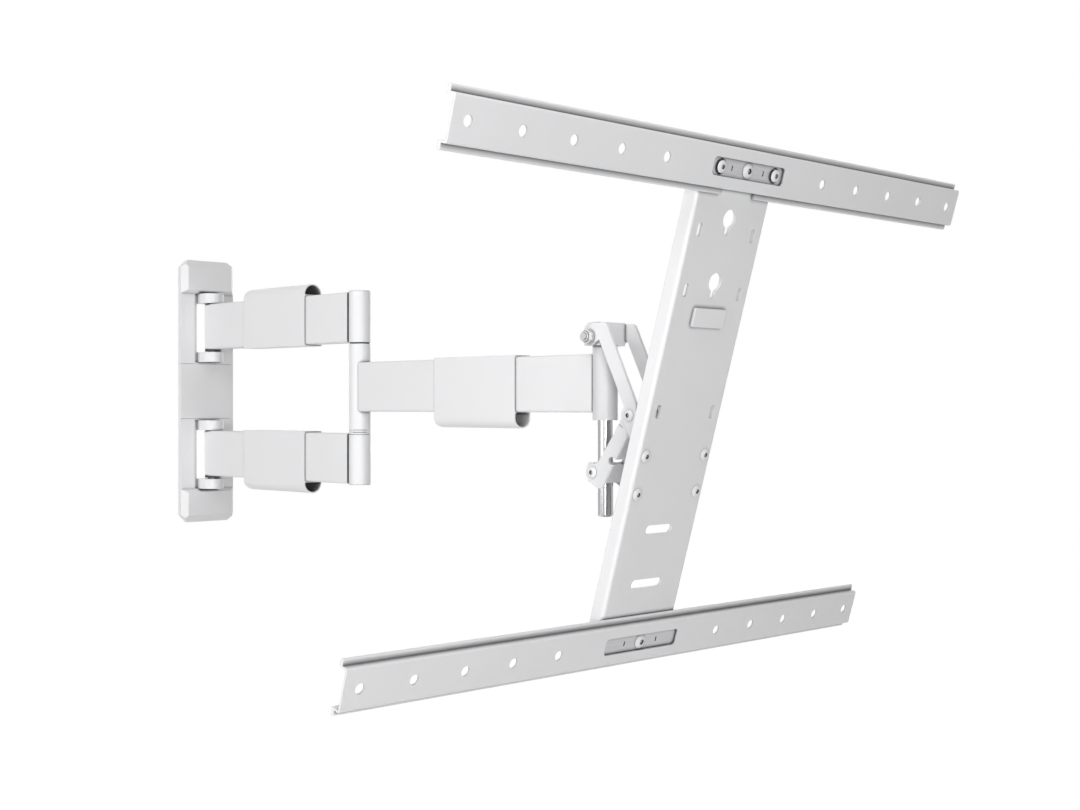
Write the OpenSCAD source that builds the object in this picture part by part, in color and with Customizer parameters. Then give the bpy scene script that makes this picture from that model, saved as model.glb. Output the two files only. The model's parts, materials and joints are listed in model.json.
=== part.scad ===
/* [Wall plate] */
// overall width of the wall plate with its covers on
plate_w = 70.3; // [60:0.1:90]
// overall height of the wall plate with its covers on
plate_h = 302.7; // [280:0.1:340]
// depth of the covers over the flat field
field_depth = 5.6; // [5:0.1:9]
// extra depth of the two raised end caps
cap_rise = 6.15; // [4:0.05:9]
// corner cut of the cover outline
corner_cut = 8.7; // [4:0.1:12]
// thickness of the steel wall plate
wall_steel_t = 3; // [2:0.1:4]
// wall thickness of the plastic covers
cover_t = 1.9; // [1.2:0.1:2.2]
// gap between the covers and the steel plate
cover_gap = 0.3; // [0.1:0.05:0.6]
// half height of the middle cover
middle_half = 31.7; // [20:0.1:33]
// gap at the two cover seams
seam_gap = 0.3; // [0.1:0.05:0.6]
// distance between the two columns of wall holes
wall_hole_x = 40; // [20:0.5:46]
// distance between the two rows of wall holes
wall_hole_z = 264; // [250:0.5:272]
// radius of a wall hole
wall_hole_r = 3.5; // [2:0.1:5]

/* [Shoulder] */
// distance of the shoulder axis from the wall
shoulder_off = 17.5; // [16:0.1:24]
// radius of the rounded front of a lug
lug_r = 12.2; // [11:0.1:13]
// height of one lug
lug_h = 11.3; // [10:0.1:11.5]
// lowest height of the outer lug above the plate centre
outer_lug_z = 101.5; // [101.4:0.1:101.6]
// lowest height of the inner lug above the plate centre
inner_lug_z = 33.8; // [33.5:0.1:33.9]
// radius of the shoulder pins
shoulder_pin_r = 6; // [5:0.1:6.5]

/* [Arms] */
// distance from the shoulder axis to the elbow axis
arm_len = 273.2; // [250:0.1:320]
// distance from the elbow axis to the head axis
fore_len = 356.2; // [320:0.1:400]
// height of the upper and lower arm tube
arm_h = 52.1; // [50:0.1:52.4]
// thickness of the upper and lower arm tube
arm_w = 20; // [18:0.1:20]
// height of the forearm tube
fore_h = 50.6; // [48:0.1:52]
// thickness of the forearm tube
fore_w = 16.6; // [14:0.1:17]
// wall thickness of the tubes
tube_t = 2; // [1.5:0.1:2.5]
// edge radius of the tubes
tube_r = 2.6; // [2.1:0.1:4]
// height of the lower edge of the upper arm
upper_arm_z = 48.3; // [48.1:0.1:48.4]
// height of the lower edge of the lower arm
lower_arm_z = -97.7; // [-98.2:0.1:-97.7]
// height of the lower edge of the forearm
fore_z = -23.1; // [-24:0.1:-22]
// outer radius of the elbow knuckles
knuckle_r = 11.2; // [10.8:0.1:12]
// radius of the elbow pin
elbow_pin_r = 7; // [6:0.1:7]
// top of the middle knuckle
mid_knuckle_top = 46.7; // [46:0.1:46.8]
// bottom of the middle knuckle
mid_knuckle_bottom = -41.7; // [-42:0.1:-41]

/* [Cable covers] */
// wall thickness of the cable covers on the arms
sleeve_t = 1.2; // [0.8:0.1:1.4]
// gap between a cable cover and its tube
sleeve_gap = 0.2; // [0.1:0.05:0.2]
// distance of the arm covers from the shoulder axis
arm_sleeve_from = 79.7; // [60:0.1:90]
// length of the arm covers
arm_sleeve_len = 113; // [90:0.5:120]
// distance of the forearm cover from the head axis
fore_sleeve_from = 106.2; // [80:0.1:140]
// length of the forearm cover
fore_sleeve_len = 115.9; // [90:0.1:130]
// straight depth of the forearm cable channel above its round bottom
fore_channel_drop = 4.7; // [3:0.1:5.5]

/* [Head] */
// outer radius of the head tube
head_tube_r = 11; // [10.6:0.1:11.2]
// top of the head tube
head_tube_top = 33.6; // [30:0.1:33.6]
// bottom of the head tube
head_tube_bottom = -29.6; // [-30:0.1:-26]
// radius of the polished post
post_r = 7; // [6.5:0.05:7]
// lower end of the post
post_bottom = -112.6; // [-118:0.1:-108]
// top of the block on the post
block_top = 54.1; // [53.5:0.1:55]
// half width of the block on the post
block_half = 16.3; // [15:0.1:16.3]
// height of the tilt axis
tilt_z = 41.65; // [41.4:0.05:42]
// height of the sliding collar
collar_h = 16.8; // [14:0.1:17]

/* [Tilt linkage] */
// distance of the middle pivot in front of the tilt axis, screen upright
mid_fwd = 61.5; // [60:0.1:62]
// distance of the middle pivot below the tilt axis, screen upright
mid_down = 51.8; // [51:0.1:53]
// distance between the two pivots of the folded strut
strut_len = 65.9; // [65:0.1:67]
// inner half distance of the two side brackets
bracket_half = 16.5; // [16.5:0.1:17.5]
// thickness of the side brackets
bracket_t = 3; // [2.5:0.1:3]
// thickness of the folded strut
strut_t = 2.8; // [2:0.1:3]

/* [Screen plate and rails] */
// distance of the front face of the screen plate in front of the tilt axis
face_fwd = 103.85; // [102:0.05:106]
// distance of the plate centre below the tilt axis, screen upright
plate_down = 35.66; // [34:0.1:37]
// width of the screen plate
screen_plate_w = 92.8; // [90:0.1:96]
// height of the screen plate
screen_plate_h = 432; // [428:1:436]
// depth of the side flanges of the screen plate
flange_d = 12.9; // [10:0.1:14]
// sheet thickness of the screen plate
plate_t = 2.5; // [2:0.1:2.5]
// length of a rail
rail_len = 629.4; // [620:0.2:680]
// distance between the two rails
rail_pitch = 400; // [400:0.5:402]
// height of the flat rail face
rail_face_h = 33.6; // [32:0.1:34]
// depth of a rail in front of the screen plate
rail_d = 9.1; // [8:0.1:10]
// height of the outward lips of a rail
lip_h = 5; // [4:0.1:5.4]
// sheet thickness of the rails
rail_t = 1.8; // [1.5:0.1:2]
// radius of the screen holes in the rails
screen_hole_r = 4.2; // [3:0.1:4.5]
// distance between the innermost screen holes on one rail
screen_hole_min = 200; // [200:1:201]
// step between neighbouring screen holes
screen_hole_step = 50; // [49:0.5:50]

/* [Rest pose] */
// shoulder angle in the rest pose
shoulder_rest = 0; // [-20:0.1:20]
// elbow angle in the rest pose
elbow_rest = -2.14; // [-20:0.01:20]
// head angle in the rest pose
head_rest = 2.14; // [-20:0.01:20]
// forward tilt of the screen plate in the rest pose
tilt_rest = 16.4; // [4:0.1:17]

/* [Output] */
// which sub-part to draw

/* [Hidden] */
eps = 0.01;
run_fit = 0.05;
snug = 0.02;
half_w = plate_w / 2;
half_h = plate_h / 2;
cap_depth = field_depth + cap_rise;
recess_top = outer_lug_z + lug_h + 0.1;
bushing_r = shoulder_pin_r + 2;
flange_low_t = 2.4;
cap_h = 1;
elbow_top = upper_arm_z + arm_h + 0.2;
elbow_bottom = lower_arm_z;
lower_knuckle_top = lower_arm_z + arm_h - 1.4;
washer_seam = (lower_knuckle_top + mid_knuckle_bottom) / 2;
elbow_bush_r = elbow_pin_r + 1.6;
head_bush_r = post_r + 1.2;
block_bottom = head_tube_top + 0.7;
cheek_half = bracket_half - 0.2;
collar_half = cheek_half - strut_t - 2;
mid_n = mid_fwd * cos(tilt_rest) - mid_down * sin(tilt_rest);
mid_z = tilt_z - mid_fwd * sin(tilt_rest) - mid_down * cos(tilt_rest);
lower_z = mid_z - sqrt(strut_len * strut_len - mid_n * mid_n);
strut_angle = asin(mid_n / strut_len);
back_fwd = face_fwd - plate_t;
web_top = strut_len - 13;
web_top_front = -7.9;
web_low = 2.4;
web_lean = atan2(8.8, web_top + 2.8);
bend_r = 3.2;
foot_screw_x = 37.5;
foot_top = -62.2;
foot_bottom = -117.8;
foot_screw_up = [-73.5, -106];
screen_holes = [for (i = [0:4]) for (s = [-1, 1]) s * (screen_hole_min / 2 + i * screen_hole_step)];
window_half = 45.5;
window_h = 14.6;
rail_screw_x = 34.4;
lip_t = 2 * rail_t - 0.3;
keyhole_drop = [56, 107.7];
side_slot_drop = [67.2, 115.9, 216.3];
side_slot_x = 34;
long_slot_rise = [113.7, 65.6];
long_slot_len = [33, 39];
pad_drop = 137;
strip_len = 2 * window_half + 21;
strip_leg = 7;
strip_t = 2.6;
strip_front = rail_t + 0.25;
steel = [0.90, 0.90, 0.91];
plastic = [0.93, 0.93, 0.94];
bright = [0.72, 0.73, 0.75];
dark = [0.25, 0.25, 0.27];

// frame of the first pair of arms, its axis at the shoulder
module at_shoulder() {
    translate([0, -shoulder_off, 0]) rotate([0, 0, shoulder_rest]) children();
}

// frame of the forearm, its axis at the elbow
module at_elbow() {
    at_shoulder() translate([0, -arm_len, 0]) rotate([0, 0, elbow_rest]) children();
}

// frame of the head, its axis along the post
module at_head() {
    at_elbow() translate([0, -fore_len, 0]) rotate([0, 0, head_rest]) children();
}

// frame of the tilting parts, its origin on the tilt axis
module at_tilt() {
    at_head() translate([0, 0, tilt_z]) rotate([tilt_rest, 0, 0]) children();
}

// frame of the strut, its origin on the lower pivot and its z along the strut
module at_strut() {
    at_head() translate([0, 0, lower_z]) rotate([strut_angle, 0, 0]) children();
}

// frame of the screen plate, its origin at the middle of the front face
module at_screen() {
    at_tilt() translate([0, -face_fwd, -plate_down]) children();
}

// a rectangle with rounded corners about the origin
module round_rect(w, h, r) {
    union() {
        square([w - 2 * r, h], center = true);
        square([w, h - 2 * r], center = true);
        for (i = [-1, 1]) for (j = [-1, 1])
            translate([i * (w / 2 - r), j * (h / 2 - r)]) circle(r = r, $fn = 48);
    }
}

// a slot with round ends, long along x
module slot_2d(len, r) {
    union() {
        square([len - 2 * r, 2 * r], center = true);
        for (i = [-1, 1]) translate([i * (len / 2 - r), 0]) circle(r = r, $fn = 40);
    }
}

// a profile in x and z drawn out along y from y0 down to y1
module along_y(y0, y1) {
    translate([0, y0, 0]) rotate([90, 0, 0]) linear_extrude(height = y0 - y1) children();
}

// a profile in y and z drawn out along x from x0 to x1
module along_x(x0, x1) {
    translate([x0, 0, 0]) rotate([90, 0, 90]) linear_extrude(height = x1 - x0) children();
}

// a cylinder along x from x0 to x1
module rod_x(r, x0, x1, fn = 40) {
    translate([x0, 0, 0]) rotate([0, 90, 0]) cylinder(r = r, h = x1 - x0, $fn = fn);
}

// a cylinder along y, its front end at y1
module rod_y(r, y0, y1, fn = 40) {
    translate([0, y0, 0]) rotate([90, 0, 0]) cylinder(r = r, h = y0 - y1, $fn = fn);
}

// a ring about z
module ring(r_out, r_in, z0, z1, fn = 64) {
    translate([0, 0, z0]) difference() {
        cylinder(r = r_out, h = z1 - z0, $fn = fn);
        translate([0, 0, -1]) cylinder(r = r_in, h = z1 - z0 + 2, $fn = fn);
    }
}

// a button head with a hex socket, seat at z = 0 and crown towards plus z
module button_head(r, h, hex_r) {
    ball = (r * r + h * h) / (2 * h);
    difference() {
        intersection() {
            cylinder(r = r, h = h, $fn = 48);
            translate([0, 0, h * 0.16 + h - ball]) sphere(r = ball, $fn = 96);
        }
        translate([0, 0, h * 0.4]) cylinder(r = hex_r, h = h, $fn = 6);
    }
}

// a button head screw, shank towards minus z
module button_screw(r, h, hex_r, shank_r, shank_l) {
    union() {
        button_head(r, h, hex_r);
        translate([0, 0, -shank_l]) cylinder(r = shank_r, h = shank_l + 0.4, $fn = 40);
    }
}

// a hex nut about z with its bore
module hex_nut(flat, h, bore) {
    difference() {
        cylinder(r = flat / (2 * cos(30)), h = h, $fn = 6);
        translate([0, 0, -1]) cylinder(r = bore, h = h + 2, $fn = 40);
    }
}

// outline of the covers in x and z, cut in a given amount
module cover_outline(inset) {
    w = half_w - inset;
    h = half_h - inset;
    c = corner_cut - inset * 0.5;
    polygon([[-w, -h + c], [-w + c, -h], [w - c, -h], [w, -h + c],
        [w, h - c], [w - c, h], [-w + c, h], [-w, h - c]]);
}

// outline of a lug seen from above, from the plate face to the rounded front
module lug_2d() {
    union() {
        translate([0, -shoulder_off]) circle(r = lug_r, $fn = 72);
        translate([-lug_r, -shoulder_off]) square([2 * lug_r, shoulder_off - wall_steel_t + eps]);
    }
}

module wall_plate() {
    color(steel) difference() {
        union() {
            along_y(0, -wall_steel_t) cover_outline(cover_t + cover_gap);
            for (z = [outer_lug_z, inner_lug_z, -inner_lug_z - lug_h, -outer_lug_z - lug_h])
                translate([0, 0, z]) linear_extrude(height = lug_h) lug_2d();
        }
        for (s = [-1, 1])
            translate([0, 0, s * (outer_lug_z + inner_lug_z + lug_h) / 2])
                cube([2 * lug_r + 0.8, 3 * wall_steel_t, outer_lug_z - inner_lug_z - lug_h], center = true);
        translate([0, -shoulder_off, -half_h]) cylinder(r = shoulder_pin_r + snug, h = plate_h, $fn = 64);
        for (i = [-1, 1]) for (j = [-1, 1])
            translate([i * wall_hole_x / 2, 0, j * wall_hole_z / 2])
                rod_y(wall_hole_r, 1, -wall_steel_t - 1);
    }
}

// one end cover: flat field with its opening and the raised cap
module end_cover() {
    difference() {
        union() {
            intersection() {
                along_y(0, -field_depth) cover_outline(0);
                translate([-half_w - 1, -20, middle_half + seam_gap / 2])
                    cube([plate_w + 2, 40, half_h]);
            }
            intersection() {
                along_y(0, -cap_depth) cover_outline(0);
                along_x(-half_w - 1, half_w + 1) polygon([[0, recess_top], [-field_depth, recess_top],
                    [-cap_depth, recess_top + 3.9], [-cap_depth, half_h - 8.1],
                    [-field_depth, half_h], [0, half_h]]);
                linear_extrude(height = half_h + 1) polygon([[-half_w, 1], [-half_w, -field_depth],
                    [-half_w + cap_rise, -cap_depth], [half_w - cap_rise, -cap_depth],
                    [half_w, -field_depth], [half_w, 1]]);
            }
        }
        intersection() {
            along_y(1, -wall_steel_t - cover_gap) cover_outline(cover_t);
            translate([-half_w, -20, 0]) cube([plate_w, 40, plate_h]);
        }
        translate([-half_w + 8.5, -cap_depth + cover_t, recess_top + 5.5])
            cube([plate_w - 17, cap_depth, half_h - recess_top - 15]);
        translate([-lug_r - 4.6, -cap_depth - 1, middle_half + 1.6])
            cube([2 * lug_r + 9.2, cap_depth + 2, recess_top - middle_half - 1.6]);
    }
}

module upper_cover() {
    color(plastic) end_cover();
}

module lower_cover() {
    color(plastic) mirror([0, 0, 1]) end_cover();
}

module middle_cover() {
    color(plastic) difference() {
        intersection() {
            along_y(0, -field_depth) cover_outline(0);
            translate([-half_w - 1, -20, -middle_half + seam_gap / 2])
                cube([plate_w + 2, 40, 2 * middle_half - seam_gap]);
        }
        along_y(1, -wall_steel_t - cover_gap) cover_outline(cover_t);
    }
}

module shoulder_pins() {
    color(bright) translate([0, -shoulder_off, 0]) for (s = [-1, 1])
        translate([0, 0, s > 0 ? inner_lug_z + 0.4 : -outer_lug_z - lug_h + 0.2])
            cylinder(r = shoulder_pin_r, h = outer_lug_z - inner_lug_z + lug_h - 0.6, $fn = 64);
}

// the flanged bushings of one arm end, with the arm bottom at z
module bushing_pair(z) {
    translate([0, 0, z]) union() {
        ring(lug_r - 3, shoulder_pin_r + run_fit, -flange_low_t, -eps);
        ring(bushing_r, shoulder_pin_r + run_fit, -eps, 12);
    }
    translate([0, 0, z + arm_h]) union() {
        ring(lug_r - 3, shoulder_pin_r + run_fit, eps, 0.25);
        ring(bushing_r, shoulder_pin_r + run_fit, -12, eps);
    }
}

module shoulder_bushings() {
    color(dark) at_shoulder() {
        bushing_pair(upper_arm_z);
        bushing_pair(lower_arm_z);
    }
}

// outer shape of one arm: round end at the shoulder and tube up to the elbow knuckle
module arm_shape() {
    union() {
        translate([0, 0, arm_h / 2]) along_y(0, -arm_len + elbow_bush_r) round_rect(arm_w, arm_h, tube_r);
        rotate_extrude($fn = 72) intersection() {
            translate([0, arm_h / 2]) round_rect(arm_w, arm_h, tube_r);
            square([arm_w, arm_h]);
        }
    }
}

// one welded arm: tube, round end and the elbow knuckle
module arm(z, k0, k1) {
    difference() {
        union() {
            translate([0, 0, z]) arm_shape();
            translate([0, -arm_len, k0]) cylinder(r = knuckle_r, h = k1 - k0, $fn = 72);
        }
        translate([0, 0, z + arm_h / 2]) along_y(-arm_w * 0.8, -arm_len + knuckle_r + 2)
            round_rect(arm_w - 2 * tube_t, arm_h - 2 * tube_t, tube_r - 2 + 0.4);
        translate([0, 0, z - 1]) cylinder(r = bushing_r + snug, h = arm_h + 2, $fn = 64);
        translate([0, -arm_len, k0 - 1]) cylinder(r = elbow_pin_r + snug, h = k1 - k0 + 2, $fn = 64);
        translate([0, -arm_len, k1]) cylinder(r = knuckle_r + 0.2, h = 10, $fn = 72);
    }
}

module upper_arm() {
    color(steel) at_shoulder() arm(upper_arm_z, upper_arm_z, elbow_top);
}

module lower_arm() {
    color(steel) at_shoulder() arm(lower_arm_z, elbow_bottom, lower_knuckle_top);
}

// cable cover of an arm with its round channel on the plus z side, tube bottom at z = 0
module arm_cable_cover() {
    w = arm_w / 2 + sleeve_gap + sleeve_t;
    top = arm_h + sleeve_gap + sleeve_t;
    y0 = -arm_sleeve_from;
    y1 = y0 - arm_sleeve_len;
    rr = 7;
    intersection() {
        along_y(y0, y1) difference() {
            union() {
                translate([-w, -sleeve_gap - sleeve_t]) square([2 * w, top + sleeve_gap + sleeve_t]);
                translate([0, top]) circle(r = w, $fn = 96);
            }
            translate([0, arm_h / 2])
                round_rect(arm_w + 2 * sleeve_gap, arm_h + 2 * sleeve_gap, tube_r + sleeve_gap);
            intersection() {
                translate([0, top]) circle(r = w - sleeve_t, $fn = 96);
                translate([-w, top]) square([2 * w, 2 * w]);
            }
        }
        along_x(-w - 1, w + 1) union() {
            translate([y1, -5]) square([arm_sleeve_len - rr, arm_h + 30]);
            translate([y1, -5]) square([arm_sleeve_len, top + w - rr + 5]);
            translate([y0 - rr, top + w - rr]) circle(r = rr, $fn = 48);
        }
    }
}

module upper_cable_cover() {
    color(plastic) at_shoulder() translate([0, 0, upper_arm_z]) arm_cable_cover();
}

module lower_cable_cover() {
    color(plastic) at_shoulder() translate([0, 0, lower_arm_z + arm_h]) mirror([0, 0, 1]) arm_cable_cover();
}

module elbow_pin() {
    color(bright) at_shoulder() translate([0, -arm_len, elbow_bottom + 0.2])
        cylinder(r = elbow_pin_r, h = elbow_top - elbow_bottom - 0.4, $fn = 64);
}

module elbow_caps() {
    color(plastic) at_shoulder() translate([0, -arm_len, 0]) {
        ring(knuckle_r - 0.3, 1.5, elbow_top, elbow_top + cap_h);
        ring(knuckle_r - 0.3, 1.5, elbow_bottom - cap_h, elbow_bottom);
    }
}

module elbow_washers() {
    color(plastic) at_shoulder() translate([0, -arm_len, 0]) {
        ring(knuckle_r - 0.1, elbow_pin_r + run_fit, washer_seam + 0.3, mid_knuckle_bottom - 0.5);
        ring(knuckle_r - 0.1, elbow_pin_r + run_fit, lower_knuckle_top + 0.5, washer_seam - 0.3);
        ring(knuckle_r - 1.4, elbow_pin_r + run_fit, lower_knuckle_top, lower_knuckle_top + 0.5 + eps);
    }
}

module elbow_thrust_washer() {
    color(dark) at_shoulder() translate([0, -arm_len, 0])
        ring(knuckle_r - 1, elbow_pin_r + run_fit, mid_knuckle_top + 0.2, upper_arm_z);
}

module elbow_bushings() {
    color(dark) at_elbow() {
        ring(elbow_bush_r, elbow_pin_r + run_fit, mid_knuckle_top - 14, mid_knuckle_top);
        ring(elbow_bush_r, elbow_pin_r + run_fit, mid_knuckle_bottom, mid_knuckle_bottom + 14);
    }
}

module forearm() {
    color(steel) at_elbow() difference() {
        union() {
            translate([0, 0, fore_z + fore_h / 2]) along_y(-elbow_bush_r, -fore_len + head_bush_r)
                round_rect(fore_w, fore_h, tube_r);
            translate([0, 0, mid_knuckle_bottom])
                cylinder(r = knuckle_r, h = mid_knuckle_top - mid_knuckle_bottom, $fn = 72);
            translate([0, -fore_len, head_tube_bottom])
                cylinder(r = head_tube_r, h = head_tube_top - head_tube_bottom, $fn = 72);
        }
        translate([0, 0, fore_z + fore_h / 2]) along_y(-knuckle_r - 2, -fore_len + head_tube_r + 2)
            round_rect(fore_w - 2 * tube_t, fore_h - 2 * tube_t, tube_r - 2 + 0.4);
        translate([0, 0, mid_knuckle_bottom - 1])
            cylinder(r = elbow_bush_r + snug, h = mid_knuckle_top - mid_knuckle_bottom + 2, $fn = 64);
        translate([0, -fore_len, head_tube_bottom - 1])
            cylinder(r = head_bush_r + snug, h = head_tube_top - head_tube_bottom + 2, $fn = 64);
    }
}

module forearm_cable_cover() {
    w = fore_w / 2 + sleeve_gap + sleeve_t;
    low = fore_z - sleeve_gap - sleeve_t;
    mid = low - fore_channel_drop + 1;
    y0 = -fore_len + fore_sleeve_from + fore_sleeve_len;
    y1 = -fore_len + fore_sleeve_from;
    rr = 5;
    color(plastic) at_elbow() intersection() {
        along_y(y0, y0 - fore_sleeve_len) difference() {
            union() {
                translate([-w, mid]) square([2 * w, fore_z + fore_h + sleeve_gap + sleeve_t - mid]);
                translate([0, mid]) circle(r = w, $fn = 96);
            }
            translate([0, fore_z + fore_h / 2])
                round_rect(fore_w + 2 * sleeve_gap, fore_h + 2 * sleeve_gap, tube_r + sleeve_gap);
            translate([0, mid]) circle(r = w - sleeve_t, $fn = 96);
            translate([-w + sleeve_t, mid]) square([2 * w - 2 * sleeve_t, low - mid]);
        }
        along_x(-w - 1, w + 1) union() {
            translate([y0 - fore_sleeve_len, mid - w + rr]) square([fore_sleeve_len, fore_h + 40]);
            translate([y0 - fore_sleeve_len, mid - w - 1]) square([fore_sleeve_len - rr, fore_h + 40]);
            translate([y0 - rr, mid - w + rr]) circle(r = rr, $fn = 48);
        }
    }
}

module head_bushings() {
    color(dark) at_elbow() translate([0, -fore_len, 0]) {
        ring(head_bush_r, post_r + run_fit, head_tube_top - 12, head_tube_top);
        ring(head_bush_r, post_r + run_fit, head_tube_bottom, head_tube_bottom + 12);
    }
}

module post_washer() {
    color(dark) at_head() ring(head_tube_r - 0.6, post_r + run_fit, head_tube_top + 0.15, block_bottom);
}

module post() {
    color(bright) at_head() difference() {
        union() {
            translate([0, 0, post_bottom + 1.6]) cylinder(r = post_r, h = block_top - 1 - post_bottom - 1.6, $fn = 96);
            translate([0, 0, post_bottom]) cylinder(r1 = post_r - 1.4, r2 = post_r, h = 1.6 + eps, $fn = 96);
        }
        translate([0, 0, tilt_z]) rod_x(3 + snug, -post_r - 1, post_r + 1);
    }
}

module post_block() {
    front = 8.4;
    rear = 9.3;
    rr = 7;
    color(steel) at_head() difference() {
        along_x(-block_half, block_half) union() {
            translate([-front, block_bottom]) square([front + rear - rr, block_top - block_bottom]);
            translate([-front, block_bottom]) square([front + rear, block_top - block_bottom - rr]);
            translate([rear - rr, block_top - rr]) circle(r = rr, $fn = 64);
        }
        translate([0, 0, block_bottom - 1]) cylinder(r = post_r + snug, h = block_top - block_bottom + 0.1, $fn = 96);
        translate([0, 0, tilt_z]) rod_x(3 + snug, -block_half - 1, block_half + 1);
    }
}

module tilt_bolt() {
    reach = bracket_half + bracket_t + 1.3;
    color(bright) at_head() translate([0, 0, tilt_z]) union() {
        rod_x(3, -reach - 7.6, reach + 0.4, 48);
        translate([reach, 0, 0]) rotate([0, 90, 0]) button_head(5.2, 2.4, 2.3);
    }
}

module tilt_nut() {
    reach = bracket_half + bracket_t + 1.3;
    color(steel) at_head() translate([-reach, 0, tilt_z]) rotate([0, -90, 0]) union() {
        hex_nut(10, 4.6, 3 + snug);
        ring(4.4, 3 + snug, 4.6 - eps, 6);
    }
}

module tilt_washers() {
    reach = bracket_half + bracket_t + 0.2;
    color(steel) at_head() translate([0, 0, tilt_z]) for (s = [-1, 1])
        rotate([0, s * 90, 0]) ring(6, 3 + snug, reach, reach + 1.1);
}

// side view of a tilt bracket in distance ahead and height, tilt axis at the origin
module bracket_side() {
    difference() {
        union() {
            circle(r = 7.4, $fn = 64);
            polygon([[-5.9, 4.4], [-0.5, 12.2], [11.4, 15.42], [12.8, 15.62],
                [14.08, 15.45], [15.26, 14.91], [16.33, 13.99], [65.3, -39.4], [67.2, -42.6], [67.6, -46.6],
                [back_fwd, foot_top], [back_fwd, foot_bottom], [back_fwd - 4, foot_bottom], [88, -92.5],
                [69.3, -70.9], [58.6, -60.4], [54.3, -46], [10.9, 0.5], [3.6, -6.4]]);
            translate([mid_fwd, -mid_down]) circle(r = 8.6, $fn = 64);
        }
        circle(r = 3 + 0.15, $fn = 48);
        translate([mid_fwd, -mid_down]) circle(r = 3 + snug, $fn = 48);
    }
}

// one tilt bracket: side plate and the foot folded outwards behind the screen plate
module bracket() {
    foot = screen_plate_w / 2 - bend_r - 0.3;
    difference() {
        union() {
            mirror([0, 1, 0]) along_x(bracket_half, bracket_half + bracket_t) bracket_side();
            translate([bracket_half, -back_fwd, foot_bottom])
                cube([foot - bracket_half, bracket_t, foot_top - foot_bottom]);
        }
        for (u = foot_screw_up) translate([foot_screw_x, -back_fwd, u]) rod_y(3 + snug, bracket_t + 1, -1);
    }
}

module right_bracket() {
    color(steel) at_tilt() bracket();
}

module left_bracket() {
    color(steel) at_tilt() mirror([1, 0, 0]) bracket();
}

module middle_pivot_screws() {
    color(steel) at_tilt() translate([0, -mid_fwd, -mid_down]) for (s = [-1, 1])
        rotate([0, s * 90, 0]) translate([0, 0, bracket_half + bracket_t])
            button_screw(5.2, 1.8, 2.1, 3, bracket_t + strut_t + 6.5);
}

module middle_pivot_nuts() {
    color(bright) at_tilt() translate([0, -mid_fwd, -mid_down]) for (s = [-1, 1])
        rotate([0, s * 90, 0]) translate([0, 0, cheek_half - strut_t - 0.3 - 5]) hex_nut(10, 5, 3 + snug);
}

// side view of the strut, lower pivot at the origin, strut line along plus y, front at minus x
module strut_side() {
    union() {
        circle(r = 7.6, $fn = 64);
        polygon([[7.6, -1], [0.9, 10.9], [3.9, 40.3], [5.9, 52.8], [7.6, strut_len], [-8.2, strut_len - 2],
            [-7.9, strut_len - 13], [-16.7, -2.8], [-13.6, -6], [-2, -8]]);
        translate([0, strut_len]) circle(r = 7.6, $fn = 64);
    }
}

// frame of the web of the strut, its z along the bend lines and its origin at their upper end
module at_web() {
    translate([0, web_top_front, web_top]) rotate([-web_lean, 0, 0]) children();
}

// cross section of the folded strut in x and y, inset from the outside
module strut_section(inset, r) {
    w = cheek_half - inset;
    union() {
        translate([-w + r, inset]) square([2 * w - 2 * r, 80]);
        translate([-w, inset + r]) square([2 * w, 80 - r]);
        for (s = [-1, 1]) translate([s * (w - r), inset + r]) circle(r = r, $fn = 48);
    }
}

module strut() {
    color(steel) at_strut() difference() {
        union() {
            intersection() {
                along_x(-cheek_half, cheek_half) strut_side();
                at_web() translate([0, 0, -2 * strut_len]) linear_extrude(height = 2 * strut_len) strut_section(0, bend_r);
            }
            intersection() {
                along_x(-cheek_half, cheek_half) strut_side();
                translate([-cheek_half, -strut_len, web_top - 1]) cube([2 * cheek_half, 2 * strut_len, strut_len]);
            }
        }
        at_web() translate([0, 0, -2 * strut_len]) linear_extrude(height = 3 * strut_len) strut_section(strut_t, 0.6);
        translate([-cheek_half + strut_t, -strut_len, web_top]) cube([2 * (cheek_half - strut_t), 2 * strut_len, strut_len]);
        translate([-cheek_half + strut_t, -strut_len, web_low - strut_len]) cube([2 * (cheek_half - strut_t), 2 * strut_len, strut_len]);
        rod_x(3 + run_fit, -cheek_half - 1, cheek_half + 1);
        translate([0, 0, strut_len]) rod_x(4.2, -cheek_half - 1, cheek_half + 1);
        translate([0, -9.6, 22.4]) rod_x(3.5, -cheek_half - 1, cheek_half + 1);
        translate([0, -9.6, 22.4]) rotate([-strut_angle, 0, 0])
            translate([0, -20, -0.6]) cube([2 * cheek_half + 2, 40, 4], center = true);
    }
}

module collar() {
    color(steel) at_head() translate([0, 0, lower_z]) difference() {
        translate([-collar_half, -9, -collar_h / 2]) cube([2 * collar_half, 18, collar_h]);
        translate([0, 0, -collar_h]) cylinder(r = post_r + run_fit, h = 2 * collar_h, $fn = 96);
        for (s = [-1, 1]) rod_x(2.5, s > 0 ? post_r + 1.2 : -collar_half - 1, s > 0 ? collar_half + 1 : -post_r - 1.2);
    }
}

module collar_spacers() {
    color(bright) at_head() translate([0, 0, lower_z]) for (s = [-1, 1]) rotate([0, s * 90, 0])
        ring(5.5, 3 + snug, collar_half, cheek_half - strut_t - 0.1);
}

module lower_pivot_screws() {
    color(steel) at_head() translate([0, 0, lower_z]) for (s = [-1, 1])
        rotate([0, s * 90, 0]) translate([0, 0, cheek_half + 0.1]) union() {
            button_screw(5.2, 1.8, 2.1, 3, strut_t + 2.1);
            translate([0, 0, -cheek_half - 0.1 + post_r + 1.4])
                cylinder(r = 2.5, h = cheek_half - post_r - 2, $fn = 40);
        }
}

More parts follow.
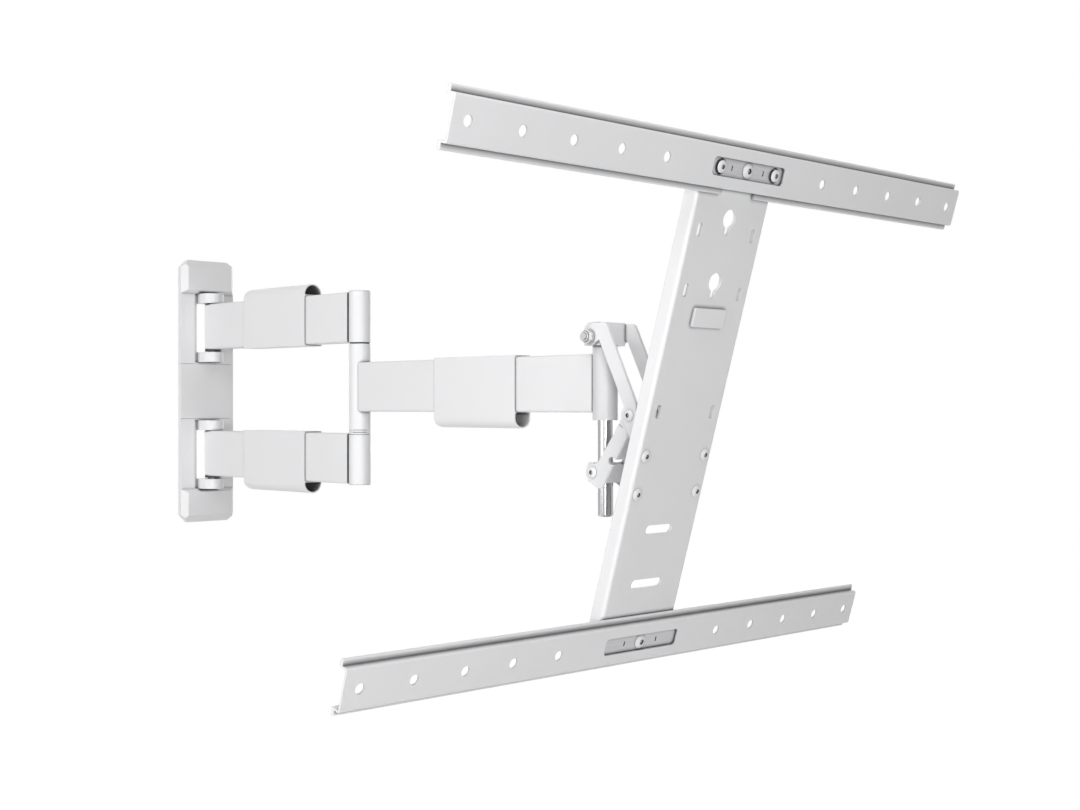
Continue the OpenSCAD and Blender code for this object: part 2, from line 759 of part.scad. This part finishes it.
// cross section of the screen plate in x and y, front face at y = 0
module screen_section() {
    w = screen_plate_w / 2;
    ro = bend_r;
    ri = ro - plate_t;
    difference() {
        union() {
            translate([-w + ro, 0]) square([2 * w - 2 * ro, flange_d]);
            translate([-w, ro]) square([2 * w, flange_d - ro]);
            for (s = [-1, 1]) translate([s * (w - ro), ro]) circle(r = ro, $fn = 48);
        }
        translate([-w + ro, plate_t]) square([2 * w - 2 * ro, flange_d]);
        translate([-w + plate_t, ro]) square([2 * (w - plate_t), flange_d]);
        for (s = [-1, 1]) translate([s * (w - ro), ro]) circle(r = ri, $fn = 48);
    }
}

// a keyhole in x and z with its round part at the origin
module keyhole_2d() {
    union() {
        circle(r = 7.8, $fn = 48);
        translate([-2.8, -10.7]) square([5.6, 10.7]);
        translate([0, -10.7]) circle(r = 2.8, $fn = 40);
    }
}

module screen_plate() {
    color(steel) at_screen() difference() {
        translate([0, 0, -screen_plate_h / 2]) linear_extrude(height = screen_plate_h) screen_section();
        for (d = keyhole_drop) translate([0, 0, screen_plate_h / 2 - d]) along_y(plate_t + 1, -1) keyhole_2d();
        for (d = side_slot_drop) for (s = [-1, 1])
            translate([s * side_slot_x, 0, screen_plate_h / 2 - d]) along_y(plate_t + 1, -1) rotate([0, 0, 90]) slot_2d(11.6, 2.6);
        for (k = [0, 1]) translate([0, 0, -screen_plate_h / 2 + long_slot_rise[k]])
            along_y(plate_t + 1, -1) slot_2d(long_slot_len[k], 4);
        for (u = foot_screw_up) for (s = [-1, 1])
            translate([s * foot_screw_x, 0, u + plate_down]) rod_y(3 + snug, plate_t + 1, -1);
        for (j = [-1, 1]) translate([0, 0, j * rail_pitch / 2]) {
            rod_y(4 + snug, plate_t + 1, -1);
            for (i = [-1, 1]) translate([i * rail_screw_x, 0, 0]) rod_y(3 + snug, plate_t + 1, -1);
        }
    }
}

module level_pad() {
    color(plastic) at_screen() translate([0, 0, screen_plate_h / 2 - pad_drop]) along_y(0, -3) round_rect(40, 15.7, 1);
}

module bracket_screws() {
    color(steel) at_screen() for (u = foot_screw_up) for (s = [-1, 1])
        translate([s * foot_screw_x, 0, u + plate_down]) rotate([90, 0, 0])
            button_screw(5.4, 1.7, 2.1, 3, plate_t + bracket_t + 6);
}

module bracket_nuts() {
    color(bright) at_screen() for (u = foot_screw_up) for (s = [-1, 1])
        translate([s * foot_screw_x, plate_t + bracket_t, u + plate_down]) rotate([-90, 0, 0])
            hex_nut(10, 5, 3 + snug);
}

// upper half of the rail section in depth and height: face, flange and hemmed lip
module rail_half_section() {
    h = rail_face_h / 2;
    r = rail_t + 0.2;
    difference() {
        union() {
            translate([0, 0]) square([rail_t, h - r]);
            translate([r, h - rail_t]) square([rail_d - r, rail_t]);
            intersection() {
                translate([r, h - r]) circle(r = r, $fn = 48);
                translate([0, h - r]) square([r, r]);
            }
            translate([rail_d - lip_t, h - rail_t]) square([lip_t, lip_h + rail_t - lip_t / 2]);
            translate([rail_d - lip_t / 2, h + lip_h - lip_t / 2]) circle(r = lip_t / 2, $fn = 40);
        }
        translate([r, h - r]) circle(r = r - rail_t, $fn = 40);
    }
}

// one rail, front face at y = -rail_d, centre of its face height at z = 0
module rail(notch) {
    difference() {
        along_x(-rail_len / 2, rail_len / 2) union() {
            translate([-rail_d, 0]) rail_half_section();
            translate([-rail_d, 0]) mirror([0, 1]) rail_half_section();
        }
        for (x = screen_holes) translate([x, 0, 0]) rod_y(screen_hole_r, 1, -rail_d - 1);
        along_y(1, -rail_d - 1) round_rect(2 * window_half, window_h, 3.4);
        if (notch) translate([-21, -rail_d + rail_t + 1, -rail_face_h / 2 - lip_h - 1])
            cube([42, rail_d, lip_h + 1 - 0.1]);
    }
}

module top_rail() {
    color(steel) at_screen() translate([0, 0, rail_pitch / 2]) rail(true);
}

module bottom_rail() {
    color(steel) at_screen() translate([0, 0, -rail_pitch / 2]) rail(false);
}

// the strip behind a rail window, with its two standing legs on the screen plate
module strip(side) {
    deep = rail_d - strip_front;
    translate([0, -rail_d + strip_front, 0]) difference() {
        translate([-strip_len / 2, 0, -window_h / 2 - 3]) cube([strip_len, deep, window_h + 6]);
        translate([-strip_len / 2 + strip_leg, strip_t, -window_h / 2 - 4])
            cube([strip_len - 2 * strip_leg, deep, window_h + 8]);
        for (x = [-20, 20]) translate([x, 0, 0]) along_y(0.9, -1) rotate([0, 0, 90]) slot_2d(4.4, 0.7);
        rod_y(4 + snug, strip_t + 1, -1);
        if (side) for (i = [-1, 1]) translate([i * rail_screw_x, 0, 0]) rod_y(6.4, strip_t + 1, -1);
    }
}

module top_strip() {
    color(bright) at_screen() translate([0, 0, rail_pitch / 2]) strip(true);
}

module bottom_strip() {
    color(bright) at_screen() translate([0, 0, -rail_pitch / 2]) strip(false);
}

module rail_centre_screws() {
    color(steel) at_screen() for (j = [-1, 1])
        translate([0, -rail_d + strip_front, j * rail_pitch / 2]) rotate([90, 0, 0])
            button_screw(6.4, 2, 2.6, 4, rail_d - strip_front + plate_t + 7);
}

module rail_side_screws() {
    color(steel) at_screen() for (i = [-1, 1])
        translate([i * rail_screw_x, -rail_d + strip_front - 1.2, rail_pitch / 2]) rotate([90, 0, 0]) union() {
            button_screw(5.1, 1.5, 2.1, 3, rail_d - strip_front + 1.2 + plate_t + 6);
            translate([0, 0, -rail_d + strip_front - 1.2]) cylinder(r = 4.6, h = rail_d - strip_front - 0.6, $fn = 48);
        }
}

module rail_nuts() {
    color(bright) at_screen() {
        for (j = [-1, 1]) translate([0, plate_t, j * rail_pitch / 2]) rotate([-90, 0, 0])
            hex_nut(13, 6, 4 + snug);
        for (i = [-1, 1]) translate([i * rail_screw_x, plate_t, rail_pitch / 2]) rotate([-90, 0, 0])
            hex_nut(10, 5, 3 + snug);
    }
}

wall_plate();
upper_cover();
middle_cover();
lower_cover();
shoulder_pins();
shoulder_bushings();
upper_arm();
lower_arm();
upper_cable_cover();
lower_cable_cover();
elbow_pin();
elbow_caps();
elbow_washers();
elbow_thrust_washer();
elbow_bushings();
forearm();
forearm_cable_cover();
head_bushings();
post_washer();
post();
post_block();
tilt_bolt();
tilt_nut();
tilt_washers();
left_bracket();
right_bracket();
middle_pivot_screws();
middle_pivot_nuts();
strut();
collar();
collar_spacers();
lower_pivot_screws();
screen_plate();
level_pad();
bracket_screws();
bracket_nuts();
top_rail();
bottom_rail();
top_strip();
bottom_strip();
rail_centre_screws();
rail_side_screws();
rail_nuts();
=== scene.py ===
"""Looks of the swivel tv wall mount: camera, plain studio, finishes and screw threads."""
import math
import json
import bpy
import numpy as np
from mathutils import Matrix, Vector


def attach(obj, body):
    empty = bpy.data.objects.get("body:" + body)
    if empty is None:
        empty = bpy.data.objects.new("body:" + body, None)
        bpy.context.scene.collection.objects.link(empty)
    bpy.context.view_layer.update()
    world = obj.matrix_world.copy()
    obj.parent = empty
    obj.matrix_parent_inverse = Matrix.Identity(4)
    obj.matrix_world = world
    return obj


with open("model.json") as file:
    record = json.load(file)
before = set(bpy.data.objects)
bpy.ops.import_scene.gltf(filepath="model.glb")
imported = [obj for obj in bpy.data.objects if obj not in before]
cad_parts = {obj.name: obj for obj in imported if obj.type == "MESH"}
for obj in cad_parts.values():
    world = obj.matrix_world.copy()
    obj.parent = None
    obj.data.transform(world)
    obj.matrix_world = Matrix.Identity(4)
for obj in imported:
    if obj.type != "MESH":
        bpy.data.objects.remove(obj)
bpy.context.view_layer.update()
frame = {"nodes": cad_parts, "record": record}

# The photograph's frame and the camera that fits it
PHOTO_WIDTH = 1080
PHOTO_HEIGHT = 810
FOCAL_PIXELS = 1519.8
HORIZON_ROW = 406.9
SENSOR = 36.0
CAMERA_PLACE = (-0.9784, -1.5324, -0.01825)
CAMERA_TURN = math.radians(-45.0)

# Head axis, tilt axis and forward tilt of the screen plate at rest, in metres
HEAD = np.array([-0.01330099, -0.64665157, 0.0])
HEAD_TUBE_RADIUS = 0.0114
TILT_AXIS = HEAD + np.array([0.0, 0.0, 0.04165])
TILT = math.radians(16.4)

# Places of the screws that show a bare end, as the part's source has them, in metres
BOLT_END = -0.0284
FACE_AHEAD = 0.10385
PLATE_SHEET = 0.0025
BRACKET_SHEET = 0.003
PLATE_DOWN = 0.03566
RAIL_PITCH = 0.4
FOOT_SCREW_ACROSS = 0.0375
FOOT_SCREW_UP = (-0.0735, -0.106)
RAIL_SCREW_ACROSS = 0.0344
SMALL_NUT = 0.005
LARGE_NUT = 0.006

# Screw threads: radius and pitch of the small and the large one, and where they start and stop, in metres
SMALL_THREAD = (0.003, 0.001)
LARGE_THREAD = (0.004, 0.00125)
THREAD_HEIGHT = 0.0003
CREST_SUNK = 0.00008
ROOT_SUNK = 0.0002
STEPS_A_TURN = 48
BARE_END = 0.001
INSIDE_NUT = 0.0012
SHORT_OF_TIP = 0.0001
BOLT_THREAD = 0.0028

# Colours of the finishes
WHITE = (0.80, 0.80, 0.81)
MOULDED = (0.81, 0.81, 0.82)
# Painted shade: the greys and blacks that pockets, sockets and seams are darkened towards
POCKET_SHADE_GREY = (0.10, 0.10, 0.105)
MOULD_POCKET_SHADE = (0.06, 0.06, 0.065)
SOCKET_SHADE_BLACK = (0.012, 0.012, 0.013)
SEAM_SHADE_DARK = (0.03, 0.03, 0.033)

# Studio: floor in metres, lamps as name, place, aim, size and watts
FLOOR_HALF = 9.0
FLOOR_HEIGHT = -1.05
MIDDLE = (0.0, -0.4, 0.0)
LAMPS = [
    ("left_box", (-3.2, -0.6, 0.9), MIDDLE, 2.4, 56.0),
    ("front_box", (-1.5, -2.6, -0.15), (-0.2, -0.75, -0.05), 1.0, 30.0),
    ("rail_box", (-0.75, -1.25, 0.95), (-0.2, -0.75, 0.0), 0.6, 4.4),
    ("right_box", (3.0, 1.0, 0.9), MIDDLE, 2.2, 34.0),
    ("back_box", (0.6, 3.0, 0.5), MIDDLE, 2.2, 32.0),
    ("top_box", (0.2, -0.8, 2.8), MIDDLE, 2.2, 14.0),
]


def add_camera():
    """The photograph's camera: level, turned 45 degrees to the wall."""
    data = bpy.data.cameras.new("photo_camera")
    data.sensor_width = SENSOR
    data.lens = FOCAL_PIXELS / PHOTO_WIDTH * SENSOR
    data.shift_y = (HORIZON_ROW - PHOTO_HEIGHT / 2) / PHOTO_WIDTH
    data.clip_start = 0.05
    data.clip_end = 50.0
    camera = bpy.data.objects.new("photo_camera", data)
    camera.location = CAMERA_PLACE
    camera.rotation_euler = (math.radians(90.0), 0.0, CAMERA_TURN)
    bpy.context.collection.objects.link(camera)
    bpy.context.scene.camera = camera


class Wire:
    """A shader socket that takes part in plain arithmetic; each operator adds its Math node."""

    def __init__(self, shop, socket):
        self.shop = shop
        self.socket = socket

    def _math(self, operation, first, second):
        return self.shop.node("ShaderNodeMath", {"operation": operation}, {0: first, 1: second})

    def __add__(self, other):
        return self._math("ADD", self, other)

    def __radd__(self, other):
        return self._math("ADD", other, self)

    def __sub__(self, other):
        return self._math("SUBTRACT", self, other)

    def __rsub__(self, other):
        return self._math("SUBTRACT", other, self)

    def __mul__(self, other):
        return self._math("MULTIPLY", self, other)

    def __rmul__(self, other):
        return self._math("MULTIPLY", other, self)

    def __pow__(self, other):
        return self._math("POWER", self, other)

    def __rpow__(self, other):
        return self._math("POWER", other, self)


class Shop:
    """A node tree, emptied, and the one method that adds nodes to it."""

    def __init__(self, tree, output):
        self.tree = tree
        self.tree.nodes.clear()
        self.out = self.tree.nodes.new(output)

    def node(self, kind, settings=None, inputs=None, output=0):
        """Adds a node: its settings first, then values or links on its sockets."""
        made = self.tree.nodes.new(kind)
        for key, value in (settings or {}).items():
            setattr(made, key, value)
        for key, value in (inputs or {}).items():
            socket = made.inputs[key]
            if isinstance(value, Wire):
                self.tree.links.new(value.socket, socket)
            else:
                socket.default_value = value
        return Wire(self, made.outputs[output])

    def close(self, shader):
        """Joins the shader to the output."""
        self.tree.links.new(shader.socket, self.out.inputs["Surface"])


class Finish(Shop):
    """One material, with the patterns that the finishes share."""

    def __init__(self, name):
        self.material = bpy.data.materials.new(name)
        self.material.use_nodes = True
        super().__init__(self.material.node_tree, "ShaderNodeOutputMaterial")
        self.place = self.node("ShaderNodeTexCoord", output="Object")

    def noise(self, scale, detail=2.0, rough=0.5, stretch=(1.0, 1.0, 1.0)):
        """Noise on object coordinates, from 0 to 1, stretched along the axes."""
        vector = self.node("ShaderNodeMapping", inputs={"Vector": self.place, "Scale": stretch},
                           output="Vector")
        return self.node("ShaderNodeTexNoise", output="Fac",
                         inputs={"Vector": vector, "Scale": scale, "Detail": detail, "Roughness": rough})

    def spread(self, value, low, high, to_low, to_high):
        """Maps a value from one range to another, held at the ends."""
        return self.node("ShaderNodeMapRange", output="Result",
                         inputs={"Value": value, "From Min": low, "From Max": high,
                                 "To Min": to_low, "To Max": to_high})

    def blend(self, factor, first, second):
        """Mixes two colours, each a wire or three numbers."""
        colours = [colour if isinstance(colour, Wire) else (*colour, 1.0) for colour in (first, second)]
        return self.node("ShaderNodeMix", {"data_type": "RGBA"},
                         {0: factor, 6: colours[0], 7: colours[1]}, output=2)

    def mottle(self, pattern, low, high, first, second):
        """Two colours by a pattern, the first one where it is low and the second one where it is high."""
        return self.blend(self.spread(pattern, low, high, 0.0, 1.0), first, second)

    def soft_edge(self, radius):
        """Surface normal with the edges rounded over a radius."""
        return self.node("ShaderNodeBevel", {"samples": 6}, {"Radius": radius}, output="Normal")

    def edge_mask(self, radius):
        """1 along sharp edges and 0 on flat faces, from how far the rounded normal leans."""
        bent = self.soft_edge(radius)
        flat = self.node("ShaderNodeNewGeometry", output="Normal")
        same = self.node("ShaderNodeVectorMath", {"operation": "DOT_PRODUCT"}, {0: bent, 1: flat},
                         output="Value")
        return self.spread(same, 0.97, 0.75, 0.0, 1.0)

    def pocket(self, reach, low=0.25, high=0.85, own=True):
        """1 deep in pockets and corners and 0 on open faces, over a reach in metres: the mask for painted shade.
        """
        open_sky = self.node("ShaderNodeAmbientOcclusion", {"samples": 8, "only_local": own},
                             {"Distance": reach}, output="AO")
        return self.spread(open_sky, low, high, 1.0, 0.0)

    def seam(self, colour, reach=0.0035, depth=0.85):
        """Darkens a colour along the lines where pieces meet as painted thin shadow."""
        return self.blend(self.pocket(reach, 0.4, 0.96, False) * depth, colour, SEAM_SHADE_DARK)

    def round_zone(self, centre, radius):
        """1 inside an upright cylinder round a point of the part's frame and 0 outside it."""
        x = self.node("ShaderNodeSeparateXYZ", inputs={0: self.place}, output="X") - float(centre[0])
        y = self.node("ShaderNodeSeparateXYZ", inputs={0: self.place}, output="Y") - float(centre[1])
        return self.spread((x * x + y * y) ** 0.5, radius, radius + 0.0004, 1.0, 0.0)

    def skin(self, colour, roughness, relief, strength, depth, edge, **fixed):
        """Closes the material with a colour, a roughness and fine relief over rounded edges."""
        normal = self.node("ShaderNodeBump", output="Normal",
                           inputs={"Strength": strength, "Distance": depth, "Height": relief,
                                   "Normal": self.soft_edge(edge)})
        self.close(self.node("ShaderNodeBsdfPrincipled", output="BSDF",
                             inputs={"Base Color": colour, "Roughness": roughness, "Normal": normal,
                                     **fixed}))
        return self.material


def powder_coat(name, white, rough, grain=0.00002, edge=0.0006, reach=0.012, painted_shade=0.45, low=0.25, high=0.85,
                deep=POCKET_SHADE_GREY, dull_post=None):
    """Sprayed and baked powder coat: even white and fine orange peel, lighter on edges as a painted highlight
    and greyer in pockets as painted shade.

    Inside a post, given as its centre and radius, the colour is a shade darker.
    """
    f = Finish(name)
    peel = f.noise(900.0, 3.0, 0.55)
    cloud = f.noise(14.0)
    speck = f.noise(5200.0, 1.0)
    colour = f.mottle(cloud, 0.3, 0.7, tuple(c * 0.975 for c in white), white)
    if dull_post:
        colour = f.blend(f.round_zone(*dull_post), colour, tuple(c * 0.79 for c in white))
    # Painted highlight: sharp edges lightened by a twentieth in the base colour
    colour = f.blend(f.edge_mask(edge) * 0.6, colour, tuple(min(1.0, c * 1.05) for c in white))
    # Painted shade: pockets greyed towards a deep colour by ambient occlusion, then painted thin shadow along
    # seams
    colour = f.seam(f.blend(f.pocket(reach, low, high) * painted_shade, colour, deep))
    roughness = f.spread(speck, 0.3, 0.7, rough - 0.05, rough + 0.06)
    return f.skin(colour, roughness, peel, 0.55, grain, edge, IOR=1.5)


def moulded_white(name, white, rough, reach=0.02, painted_shade=0.9):
    """Injection-moulded plastic: fine spark texture, faint flow clouds, and painted shade in dull grey deep
    inside.
    """
    f = Finish(name)
    spark = f.noise(2600.0, 2.0, 0.6)
    flow = f.noise(9.0, 1.0)
    colour = f.mottle(flow, 0.35, 0.65, tuple(c * 0.98 for c in white), white)
    # Painted shade: deep insides greyed, and painted thin shadow along seams
    colour = f.seam(f.blend(f.pocket(reach) * painted_shade, colour, MOULD_POCKET_SHADE))
    roughness = f.spread(flow, 0.3, 0.7, rough - 0.03, rough + 0.04)
    return f.skin(colour, roughness, spark, 0.4, 0.00001, 0.0007, IOR=1.49)


def polished_post(name):
    """Drawn and polished steel bar: painted reflections as light and dark streaks along the post, fine rings
    round it.
    """
    f = Finish(name)
    rings = f.noise(1.0, 2.0, 0.6, (40.0, 40.0, 5200.0))
    # Painted reflection: light and dark streaks along the post stand in for the studio's reflections
    painted_reflection_streak = f.noise(1.0, 2.0, 0.55, (430.0, 430.0, 2.5))
    colour = f.mottle(painted_reflection_streak, 0.36, 0.64, (0.22, 0.22, 0.225), (0.66, 0.66, 0.67))
    roughness = f.spread(rings, 0.3, 0.7, 0.10, 0.20)
    return f.skin(colour, roughness, rings, 0.25, 0.000006, 0.0003, Metallic=1.0)


def plated_steel(name, tone=0.60, rough=0.34):
    """Zinc-plated steel: small crystal mottle and a soft shine."""
    f = Finish(name)
    crystals = f.noise(700.0)
    scuff = f.noise(2400.0, 1.0)
    dull = (tone * 0.9, tone * 0.9, tone * 0.91)
    # Painted thin shadow along the lines where pieces meet
    colour = f.seam(f.mottle(crystals, 0.3, 0.7, dull, (tone, tone, tone * 1.01)))
    roughness = f.spread(crystals, 0.3, 0.7, rough - 0.06, rough + 0.08)
    return f.skin(colour, roughness, scuff, 0.3, 0.00001, 0.0003, Metallic=1.0)


def brushed_strip(name):
    """Brushed sheet behind the rail windows: long fine lines along the rail."""
    f = Finish(name)
    lines = f.noise(1.0, 3.0, 0.7, (60.0, 5200.0, 5200.0))
    # Painted thin shadow along the lines where pieces meet
    colour = f.seam(f.mottle(lines, 0.3, 0.7, (0.40, 0.40, 0.41), (0.58, 0.58, 0.59)))
    roughness = f.spread(lines, 0.3, 0.7, 0.30, 0.46)
    return f.skin(colour, roughness, lines, 0.35, 0.00001, 0.0003, Metallic=1.0)


def nylon(name, colour, rough):
    """Turned nylon: dull, with faint lathe rings."""
    f = Finish(name)
    rings = f.noise(1.0, 1.0, 0.5, (30.0, 30.0, 3000.0))
    # Painted thin shadow along the lines where pieces meet
    tone = f.seam(f.mottle(rings, 0.3, 0.7, tuple(c * 0.9 for c in colour), colour))
    roughness = f.spread(rings, 0.3, 0.7, rough - 0.04, rough + 0.06)
    return f.skin(tone, roughness, rings, 0.3, 0.00001, 0.0003)


def dress_solids():
    """Gives each solid the finish of its slot, or its own; returns the finishes by slot."""
    by_slot = {
        "white_steel": powder_coat("white_powder_coat", WHITE, 0.42),
        "white_plastic": moulded_white("white_moulding", MOULDED, 0.36),
        # Painted shade: the screws' sockets and pockets darkened to near black
        "white_fasteners": powder_coat("white_fastener_coat", WHITE, 0.36, 0.00001, 0.0003, 0.0032, 1.0,
                                       0.5, 0.86, SOCKET_SHADE_BLACK),
        "bare_steel": plated_steel("zinc_plating"),
        "polished_steel": polished_post("polished_post"),
        "dark_nylon": nylon("black_nylon", (0.03, 0.03, 0.032), 0.5),
        "pale_nylon": nylon("white_nylon", (0.78, 0.78, 0.79), 0.45),
    }
    strip = brushed_strip("brushed_strip")
    # Painted shade: stronger pocket darkening, which greys the rails' lips beside their side walls
    rail = powder_coat("white_rail_coat", WHITE, 0.42, 0.00002, 0.0005, 0.011, 0.95, 0.25, 1.0)
    by_node = {
        "top_strip": strip,
        "bottom_strip": strip,
        "top_rail": rail,
        "bottom_rail": rail,
        "forearm": powder_coat("white_forearm_coat", WHITE, 0.42, dull_post=(HEAD, HEAD_TUBE_RADIUS)),
    }
    slot_of = {part["node"]: part["material_slot"] for part in frame["record"]["subparts"]}
    for name, node in frame["nodes"].items():
        finish = by_node.get(name, by_slot[slot_of[name]])
        if not node.material_slots:
            node.data.materials.append(finish)
        for holder in node.material_slots:
            holder.material = finish
    return by_slot


def thread_ridge(root, way, size, length):
    """Points, side faces and end faces of a screw thread's ridge, as whole arrays.

    A triangle whose base is sunk in the shank goes round the axis and climbs one pitch a turn. At turn t its
    corners lie at root + way * (half + pitch * t + shift) + outward(t) * (radius + rise), where half is half
    its base. The crest leaves the shank over the first eighth of a turn and goes back over the last one.
    """
    radius, pitch = size
    way = np.array(way) / np.linalg.norm(way)
    side = np.cross(way, (0.0, 0.0, 1.0))
    side = side / np.linalg.norm(side)
    other = np.cross(way, side)
    half = 0.42 * pitch
    turns = (length - 2.0 * half) / pitch
    steps = int(turns * STEPS_A_TURN) + 1
    turn = np.linspace(0.0, turns, steps + 1)
    fade = np.minimum(1.0, 8.0 * np.minimum(turn, turns - turn))
    outward = np.outer(np.cos(math.tau * turn), side) + np.outer(np.sin(math.tau * turn), other)
    root_rise = np.full_like(turn, -ROOT_SUNK)
    rise = np.stack([root_rise, THREAD_HEIGHT * fade - CREST_SUNK, root_rise], axis=1)
    along = half + pitch * turn[:, None] + np.array([-half, 0.0, half])
    points = np.array(root) + along[..., None] * way + (radius + rise)[..., None] * outward[:, None, :]
    first = 3 * np.arange(steps)[:, None]
    near = first + np.array([0, 1, 2])
    far = first + np.array([1, 2, 0])
    sides = np.stack([near, near + 3, far + 3, far], axis=-1)
    ends = np.array([[0, 1, 2], [3 * steps + 2, 3 * steps + 1, 3 * steps]])
    return points.reshape(-1, 3), sides.reshape(-1, 4), ends


def add_threads(name, ridges, body, finish):
    """The thread ridges on one body's screws as one piece; each of ridges holds a ridge's arguments."""
    points = np.empty((0, 3))
    faces = []
    for ridge in ridges:
        more, sides, ends = thread_ridge(*ridge)
        faces += (sides + len(points)).tolist() + (ends + len(points)).tolist()
        points = np.concatenate([points, more])
    mesh = bpy.data.meshes.new(name)
    mesh.from_pydata(points.tolist(), [], faces)
    mesh.materials.append(finish)
    piece = bpy.data.objects.new(name, mesh)
    bpy.context.collection.objects.link(piece)
    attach(piece, body)


def screen_screw(across, up, nut_face, size):
    """A ridge's arguments for a screw through the plate; its nut's back lies nut_face ahead of the tilt axis."""
    forward = np.array([0.0, -math.cos(TILT), -math.sin(TILT)])
    upward = np.array([0.0, -math.sin(TILT), math.cos(TILT)])
    ahead = nut_face + SHORT_OF_TIP + INSIDE_NUT
    root = TILT_AXIS + np.array([across, 0.0, 0.0]) + ahead * forward + up * upward
    return root, -forward, size, BARE_END + INSIDE_NUT


def add_all_threads(by_slot):
    """Threads on the bare ends of the tilt bolt and of the screws through the screen plate."""
    bolt_root = TILT_AXIS + np.array([BOLT_END + SHORT_OF_TIP + BOLT_THREAD, 0.0, 0.0])
    bolt = (bolt_root, (-1.0, 0.0, 0.0), SMALL_THREAD, BOLT_THREAD)
    add_threads("tilt_bolt_thread", [bolt], "head", by_slot["bare_steel"])
    white = by_slot["white_fasteners"]
    foot_nut = FACE_AHEAD - PLATE_SHEET - BRACKET_SHEET - SMALL_NUT
    foot = [screen_screw(across, up, foot_nut, SMALL_THREAD)
            for across in (-FOOT_SCREW_ACROSS, FOOT_SCREW_ACROSS) for up in FOOT_SCREW_UP]
    add_threads("bracket_screw_threads", foot, "tilt", white)
    large_nut = FACE_AHEAD - PLATE_SHEET - LARGE_NUT
    small_nut = FACE_AHEAD - PLATE_SHEET - SMALL_NUT
    top_rail = RAIL_PITCH / 2 - PLATE_DOWN
    bottom_rail = -RAIL_PITCH / 2 - PLATE_DOWN
    rails = [screen_screw(0.0, up, large_nut, LARGE_THREAD) for up in (top_rail, bottom_rail)]
    rails += [screen_screw(across, top_rail, small_nut, SMALL_THREAD)
              for across in (-RAIL_SCREW_ACROSS, RAIL_SCREW_ACROSS)]
    add_threads("rail_screw_threads", rails, "tilt", white)


def add_floor():
    """A plain pale floor well below the mount, white to the camera and in reflections, its shadow kept."""
    f = Finish("pale_floor")
    ray = f.node("ShaderNodeLightPath", output="Is Camera Ray")
    mirror_ray = f.node("ShaderNodeLightPath", output="Is Glossy Ray")
    matt = f.node("ShaderNodeBsdfDiffuse", inputs={"Color": (0.8, 0.8, 0.8, 1.0)}, output="BSDF")
    glow = f.node("ShaderNodeEmission", inputs={"Color": (1.0, 1.0, 1.0, 1.0), "Strength": 1.13},
                  output="Emission")
    f.close(f.node("ShaderNodeMixShader", inputs={0: (ray + mirror_ray) * 0.9, 1: matt, 2: glow}))
    signs = ((-1, -1), (1, -1), (1, 1), (-1, 1))
    corners = [(x * FLOOR_HALF, y * FLOOR_HALF, FLOOR_HEIGHT) for x, y in signs]
    mesh = bpy.data.meshes.new("floor")
    mesh.from_pydata(corners, [], [(0, 1, 2, 3)])
    mesh.materials.append(f.material)
    floor = bpy.data.objects.new("floor", mesh)
    bpy.context.collection.objects.link(floor)


def add_world(level):
    """Even room light; white where the camera, a reflection or glass looks past the object."""
    world = bpy.data.worlds.new("studio")
    world.use_nodes = True
    shop = Shop(world.node_tree, "ShaderNodeOutputWorld")
    rays = [shop.node("ShaderNodeLightPath", output=kind)
            for kind in ("Is Camera Ray", "Is Glossy Ray", "Is Transmission Ray")]
    room, white = (shop.node("ShaderNodeBackground", output="Background",
                             inputs={"Color": (1.0, 1.0, 1.0, 1.0), "Strength": strength})
                   for strength in (level, 1.0))
    shop.close(shop.node("ShaderNodeMixShader", inputs={0: rays[0] + rays[1] + rays[2], 1: room, 2: white}))
    bpy.context.scene.world = world


def add_lamp(name, place, aim, size, power):
    """A square soft box at a place, aimed at a point."""
    data = bpy.data.lights.new(name, "AREA")
    data.shape = "SQUARE"
    data.size = size
    data.energy = power
    lamp = bpy.data.objects.new(name, data)
    lamp.location = place
    lamp.rotation_mode = "QUATERNION"
    lamp.rotation_quaternion = (Vector(aim) - Vector(place)).to_track_quat("-Z", "Y")
    bpy.context.collection.objects.link(lamp)


add_all_threads(dress_solids())
add_camera()
add_floor()
add_world(0.09)
for lamp in LAMPS:
    add_lamp(*lamp)
bpy.context.scene.view_settings.view_transform = "Standard"
